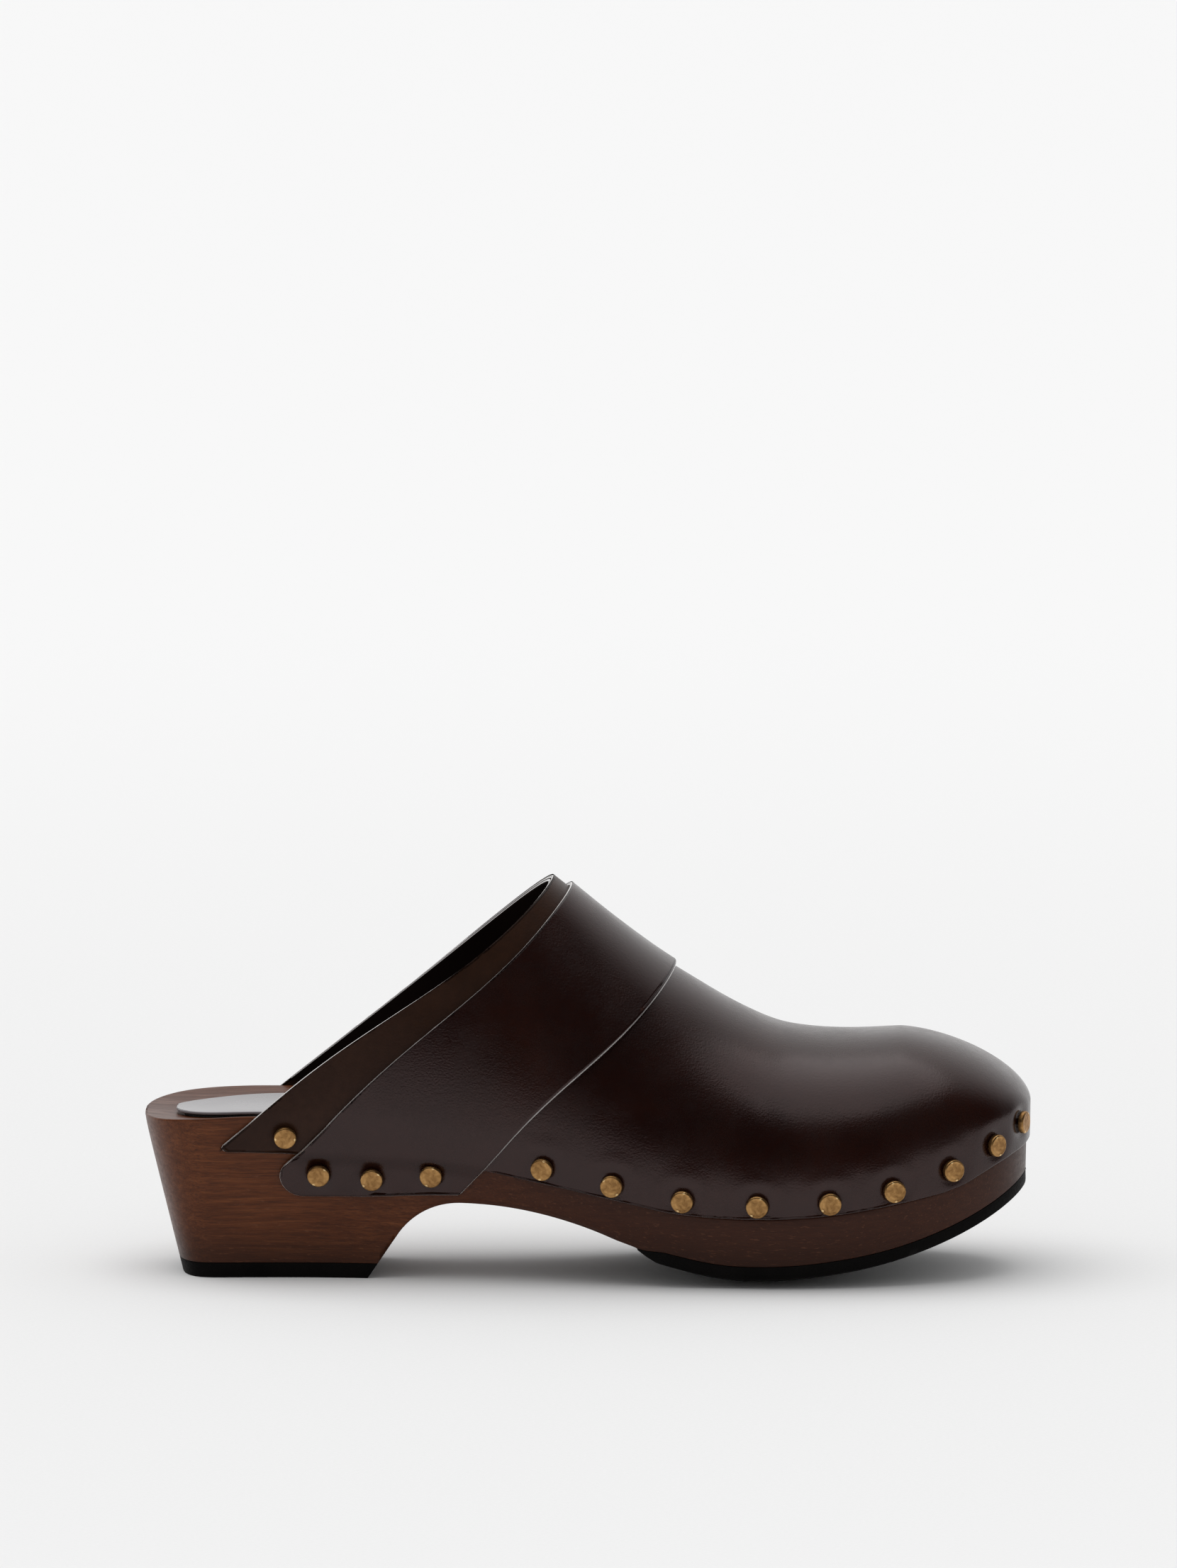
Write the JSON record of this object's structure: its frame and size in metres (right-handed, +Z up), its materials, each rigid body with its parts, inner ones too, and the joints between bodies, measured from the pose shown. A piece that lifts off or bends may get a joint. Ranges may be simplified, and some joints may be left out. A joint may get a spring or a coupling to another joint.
{
  "type": "wooden-soled clog",
  "caption": "Closed-toe, open-back clog for the right foot: a shaped wooden sole with heel, rubber treads and a nailed leather upper with an instep band.",
  "frame": {"origin": "centre of the flat face that the heel stands on", "axes": "+X from heel to toe along the sole, -Y towards the outer side of the foot, +Z up"},
  "size_m": [0.2616, 0.1006, 0.1173],
  "materials": {
    "stained_wood": "stained reddish brown, satin",
    "upper_leather": "polished dark brown",
    "collar_leather": "dark brown, soft sheen",
    "lining_leather": "matt dark brown",
    "sock_leather": "smooth grey, soft sheen",
    "foam": "matt foam",
    "black_rubber": "matt black",
    "antique_brass": "brushed antique brass"
  },
  "bodies": {
    "root": {"wooden_sole": "stained_wood", "heel_lift": "black_rubber", "forefoot_outsole": "black_rubber", "vamp": "upper_leather", "collar_strap": "collar_leather", "instep_band": "upper_leather", "vamp_lining": "lining_leather", "heel_sock": "sock_leather", "sock_foam": "foam", "collar_stud_outer": "antique_brass", "collar_stud_inner": "antique_brass", "band_stud_outer_1": "antique_brass", "band_stud_outer_2": "antique_brass", "band_stud_outer_3": "antique_brass", "band_stud_inner_1": "antique_brass", "band_stud_inner_2": "antique_brass", "band_stud_inner_3": "antique_brass", "vamp_stud_outer_1": "antique_brass", "vamp_stud_outer_2": "antique_brass", "vamp_stud_outer_3": "antique_brass", "vamp_stud_outer_4": "antique_brass", "vamp_stud_outer_5": "antique_brass", "vamp_stud_outer_6": "antique_brass", "vamp_stud_outer_7": "antique_brass", "vamp_stud_outer_8": "antique_brass", "vamp_stud_outer_9": "antique_brass", "vamp_stud_inner_1": "antique_brass", "vamp_stud_inner_2": "antique_brass", "vamp_stud_inner_3": "antique_brass", "vamp_stud_inner_4": "antique_brass", "vamp_stud_inner_5": "antique_brass", "vamp_stud_inner_6": "antique_brass", "vamp_stud_inner_7": "antique_brass", "vamp_stud_inner_8": "antique_brass", "vamp_stud_inner_9": "antique_brass"}
  },
  "joints": []
}
